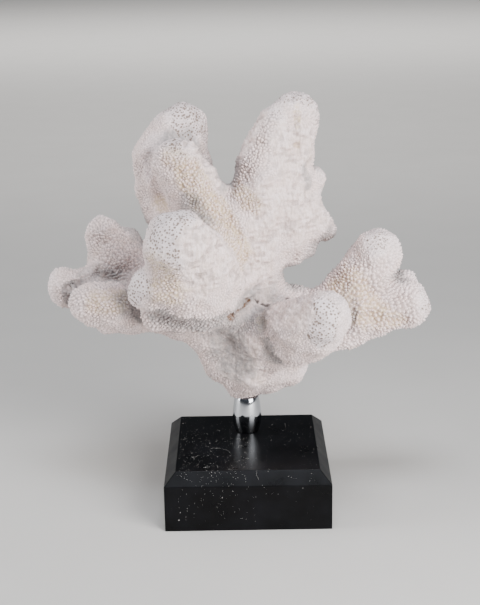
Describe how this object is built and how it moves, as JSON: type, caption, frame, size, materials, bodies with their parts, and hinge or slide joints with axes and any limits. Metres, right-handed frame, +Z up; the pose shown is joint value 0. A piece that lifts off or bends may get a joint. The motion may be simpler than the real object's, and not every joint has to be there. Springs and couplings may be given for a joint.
{
  "type": "cauliflower coral skeleton on stand",
  "caption": "Bleached cauliflower coral skeleton with blunt knobbly branches, held on a short chrome post over a chamfered black wooden plinth.",
  "frame": {"origin": "centre of the plinth's underside, on the surface that the stand rests on", "axes": "+Z up, +X to the right and +Y to the back as the object is shown from its front; the plinth's sides run along X and Y"},
  "size_m": [0.2335, 0.1389, 0.2499],
  "materials": {
    "coral": "matt, porous and chalky, with fine rounded bumps and pits",
    "chrome": "mirror polished",
    "black_wood": "satin black paint on wood, with a little dust"
  },
  "bodies": {
    "root": {"plinth": "black_wood", "post": "chrome", "coral_trunk": "coral", "coral_lobe_front_left": "coral", "coral_branch_far_left": "coral", "coral_branch_back_left": "coral", "coral_branch_back_right": "coral", "coral_branch_right": "coral", "coral_branch_front_right": "coral", "coral_branch_back": "coral"}
  },
  "joints": []
}
